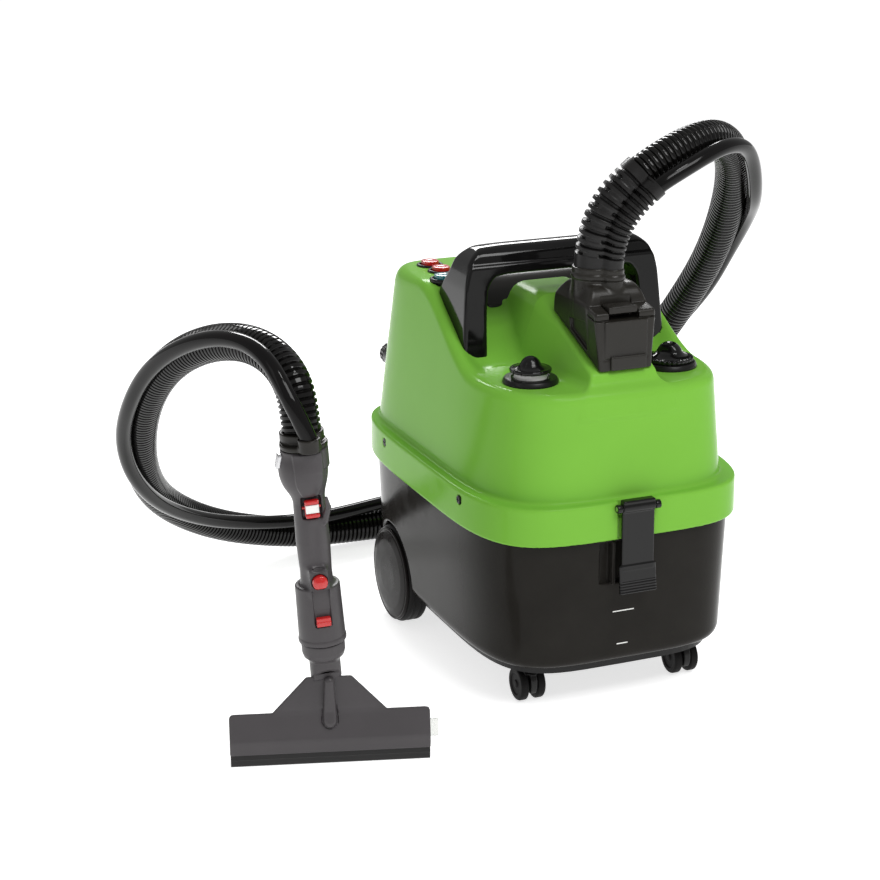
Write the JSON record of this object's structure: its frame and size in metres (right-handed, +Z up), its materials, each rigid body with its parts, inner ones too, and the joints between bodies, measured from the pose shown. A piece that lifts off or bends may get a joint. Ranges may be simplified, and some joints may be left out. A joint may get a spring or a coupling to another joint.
{
  "type": "steam cleaner",
  "caption": "Canister steam cleaner with a green lift-off head on a black wheeled tank, hoses and a floor-nozzle gun.",
  "frame": {"origin": "on the floor, under the middle of the box round the machine and gun without the hoses", "axes": "+Z up, -Y towards the front of the machine (latch and hose plug), +X to the right side seen from behind the front face looking along +Y"},
  "size_m": [0.8152, 0.7068, 0.659],
  "materials": {
    "green_shell": "moulded green plastic, semi-gloss",
    "black_tank": "moulded black plastic, glossy",
    "black_plastic": "moulded black plastic, satin",
    "dark_grey": "moulded dark grey plastic, fine texture",
    "handle_black": "moulded black plastic, satin gloss",
    "hub_grey": "dark grey plastic",
    "tyre_rubber": "matt black rubber",
    "seal_rubber": "soft black rubber",
    "pale_seal": "pale plastic",
    "red_button": "red plastic, glossy",
    "teal_button": "teal plastic, glossy",
    "hose_black": "ribbed black hose",
    "steam_tube": "smooth black rubber hose",
    "gun_grey": "dark grey plastic, fine texture",
    "clear_lip": "clear plastic",
    "bristle": "stiff black bristles",
    "steel": "turned steel",
    "boiler_steel": "drawn stainless steel",
    "brass_part": "machined brass",
    "copper_pipe": "copper pipe",
    "aluminium_part": "pressed aluminium",
    "natural_tank": "natural translucent polyethylene",
    "float_orange": "orange plastic",
    "board_green": "circuit board"
  },
  "bodies": {
    "tank": {"tank_shell": "black_tank", "chassis_plate": "black_plastic", "wheel_axles": "steel"},
    "left_wheel": {"tyre_left": "tyre_rubber", "wheel_left": "hub_grey"},
    "right_wheel": {"tyre_right": "tyre_rubber", "wheel_right": "hub_grey"},
    "left_caster": {"caster_fork_left": "black_plastic"},
    "right_caster": {"caster_fork_right": "black_plastic"},
    "left_caster_wheels": {"caster_wheels_left": "tyre_rubber"},
    "right_caster_wheels": {"caster_wheels_right": "tyre_rubber"},
    "head": {"top_cover": "green_shell", "inner_deck": "black_plastic", "tank_gasket": "seal_rubber", "rear_panel": "dark_grey", "carry_handle": "handle_black", "skirt_screws": "steel", "latch_pin": "steel", "switch_bezels": "black_plastic", "power_inlet": "black_plastic", "water_filler": "black_plastic", "detergent_filler": "black_plastic", "water_reservoir": "natural_tank", "detergent_reservoir": "natural_tank", "intake_duct": "black_plastic", "boiler": "boiler_steel", "heating_element": "boiler_steel", "safety_valve": "brass_part", "feed_pump": "dark_grey", "solenoid_valve": "steel", "steam_pipe": "copper_pipe", "vacuum_motor": "steel", "fan_housing": "aluminium_part", "float_cage": "black_plastic", "control_board": "board_green"},
    "latch": {"latch_strap": "handle_black"},
    "power_rocker": {"power_switch": "red_button"},
    "vacuum_rocker": {"vacuum_switch": "red_button"},
    "steam_rocker": {"steam_switch": "teal_button"},
    "knob": {"steam_knob": "black_plastic"},
    "fan": {"fan_impeller": "aluminium_part"},
    "float": {"float_ball": "float_orange"},
    "water_lid": {"water_cap": "black_plastic"},
    "detergent_stopper": {"detergent_seal": "pale_seal"},
    "detergent_lid": {"detergent_cap": "black_plastic"},
    "hose_set": {"hose_plug": "dark_grey", "hose_boot": "seal_rubber", "vacuum_hose": "hose_black", "steam_hose": "steam_tube", "hose_cuff": "dark_grey"},
    "plug_release": {"plug_button": "dark_grey"},
    "gun": {"gun_housing": "gun_grey"},
    "trigger": {"gun_trigger": "red_button"},
    "nozzle_release": {"gun_release": "red_button"},
    "nozzle_lock": {"gun_lock_slide": "red_button"},
    "swivel_release": {"swivel_button": "dark_grey"},
    "nozzle": {"nozzle_body": "gun_grey", "nozzle_blade": "seal_rubber", "nozzle_bristles": "bristle", "nozzle_lip": "clear_lip"}
  },
  "joints": [
    {"name": "left_wheel_spin", "type": "hinge", "parent": "tank", "child": "left_wheel", "pos_m": [0.009, 0.136, 0.062], "axis": [1, 0, 0], "continuous": true},
    {"name": "left_caster_swivel", "type": "hinge", "parent": "tank", "child": "left_caster", "pos_m": [0.053, -0.14, 0.048], "axis": [0, 0, 1], "continuous": true},
    {"name": "left_caster_roll", "type": "hinge", "parent": "left_caster", "child": "left_caster_wheels", "pos_m": [0.053, -0.154, 0.02], "axis": [1, 0, 0], "continuous": true},
    {"name": "right_wheel_spin", "type": "hinge", "parent": "tank", "child": "right_wheel", "pos_m": [0.297, 0.136, 0.062], "axis": [1, 0, 0], "continuous": true},
    {"name": "right_caster_swivel", "type": "hinge", "parent": "tank", "child": "right_caster", "pos_m": [0.253, -0.14, 0.048], "axis": [0, 0, 1], "continuous": true},
    {"name": "right_caster_roll", "type": "hinge", "parent": "right_caster", "child": "right_caster_wheels", "pos_m": [0.253, -0.154, 0.02], "axis": [1, 0, 0], "continuous": true},
    {"name": "head_lift", "type": "slide", "parent": "tank", "child": "head", "axis": [0, 0, 1], "range_m": [0, 0.14]},
    {"name": "latch_open", "type": "hinge", "parent": "head", "child": "latch", "pos_m": [0.153, -0.2325, 0.247], "axis": [-1, 0, 0], "range_deg": [0, 100]},
    {"name": "power_rock", "type": "hinge", "parent": "head", "child": "power_rocker", "pos_m": [0.055, 0.146, 0.45], "axis": [1, 0, 0], "range_deg": [-8, 8]},
    {"name": "vacuum_rock", "type": "hinge", "parent": "head", "child": "vacuum_rocker", "pos_m": [0.055, 0.11, 0.45], "axis": [1, 0, 0], "range_deg": [-8, 8]},
    {"name": "steam_rock", "type": "hinge", "parent": "head", "child": "steam_rocker", "pos_m": [0.041, 0.068, 0.45], "axis": [1, 0, 0], "range_deg": [-8, 8]},
    {"name": "knob_turn", "type": "hinge", "parent": "head", "child": "knob", "pos_m": [0.035, 0.218, 0.322], "axis": [0, 1, 0], "range_deg": [0, 270]},
    {"name": "fan_spin", "type": "hinge", "parent": "head", "child": "fan", "pos_m": [0.219, 0.11, 0.3], "axis": [0, 0, 1], "continuous": true},
    {"name": "float_rise", "type": "slide", "parent": "head", "child": "float", "axis": [0, 0, 1], "range_m": [0, 0.028]},
    {"name": "water_cap_lift", "type": "slide", "parent": "head", "child": "water_lid", "axis": [0, 0, 1], "range_m": [0, 0.06]},
    {"name": "detergent_stopper_lift", "type": "slide", "parent": "head", "child": "detergent_stopper", "axis": [0, 0, 1], "range_m": [0, 0.06]},
    {"name": "detergent_cap_turn", "type": "hinge", "parent": "detergent_stopper", "child": "detergent_lid", "pos_m": [0.065, -0.133, 0.39], "axis": [0, 0, 1], "range_deg": [0, 90]},
    {"name": "hose_unplug", "type": "slide", "parent": "head", "child": "hose_set", "axis": [0, 0, 1], "range_m": [0, 0.06]},
    {"name": "plug_button_press", "type": "slide", "parent": "hose_set", "child": "plug_release", "axis": [0, 0, -1], "range_m": [0, 0.002], "stiffness_N_per_m": 400},
    {"name": "gun_swivel", "type": "hinge", "parent": "hose_set", "child": "gun", "pos_m": [-0.22993, -0.21, 0.35927], "axis": [-0.0698, 0, 0.9976], "continuous": true},
    {"name": "trigger_pull", "type": "hinge", "parent": "gun", "child": "trigger", "pos_m": [-0.22796, -0.22379, 0.29625], "axis": [0.9824, -0.1736, 0.0687], "range_deg": [0, 8], "stiffness_Nm_per_rad": 0.5},
    {"name": "nozzle_release_press", "type": "slide", "parent": "gun", "child": "nozzle_release", "axis": [0.1732, 0.9848, 0.0121], "range_m": [0, 0.003], "stiffness_N_per_m": 400},
    {"name": "nozzle_lock_slide", "type": "slide", "parent": "gun", "child": "nozzle_lock", "axis": [-0.0698, 0, 0.9976], "range_m": [0, 0.006]},
    {"name": "swivel_button_press", "type": "slide", "parent": "gun", "child": "swivel_release", "axis": [0.9824, -0.1736, 0.0687], "range_m": [0, 0.003], "stiffness_N_per_m": 400},
    {"name": "nozzle_turn", "type": "hinge", "parent": "gun", "child": "nozzle", "pos_m": [-0.21528, -0.21, 0.14978], "axis": [-0.0698, 0, 0.9976], "range_deg": [-90, 90]}
  ]
}
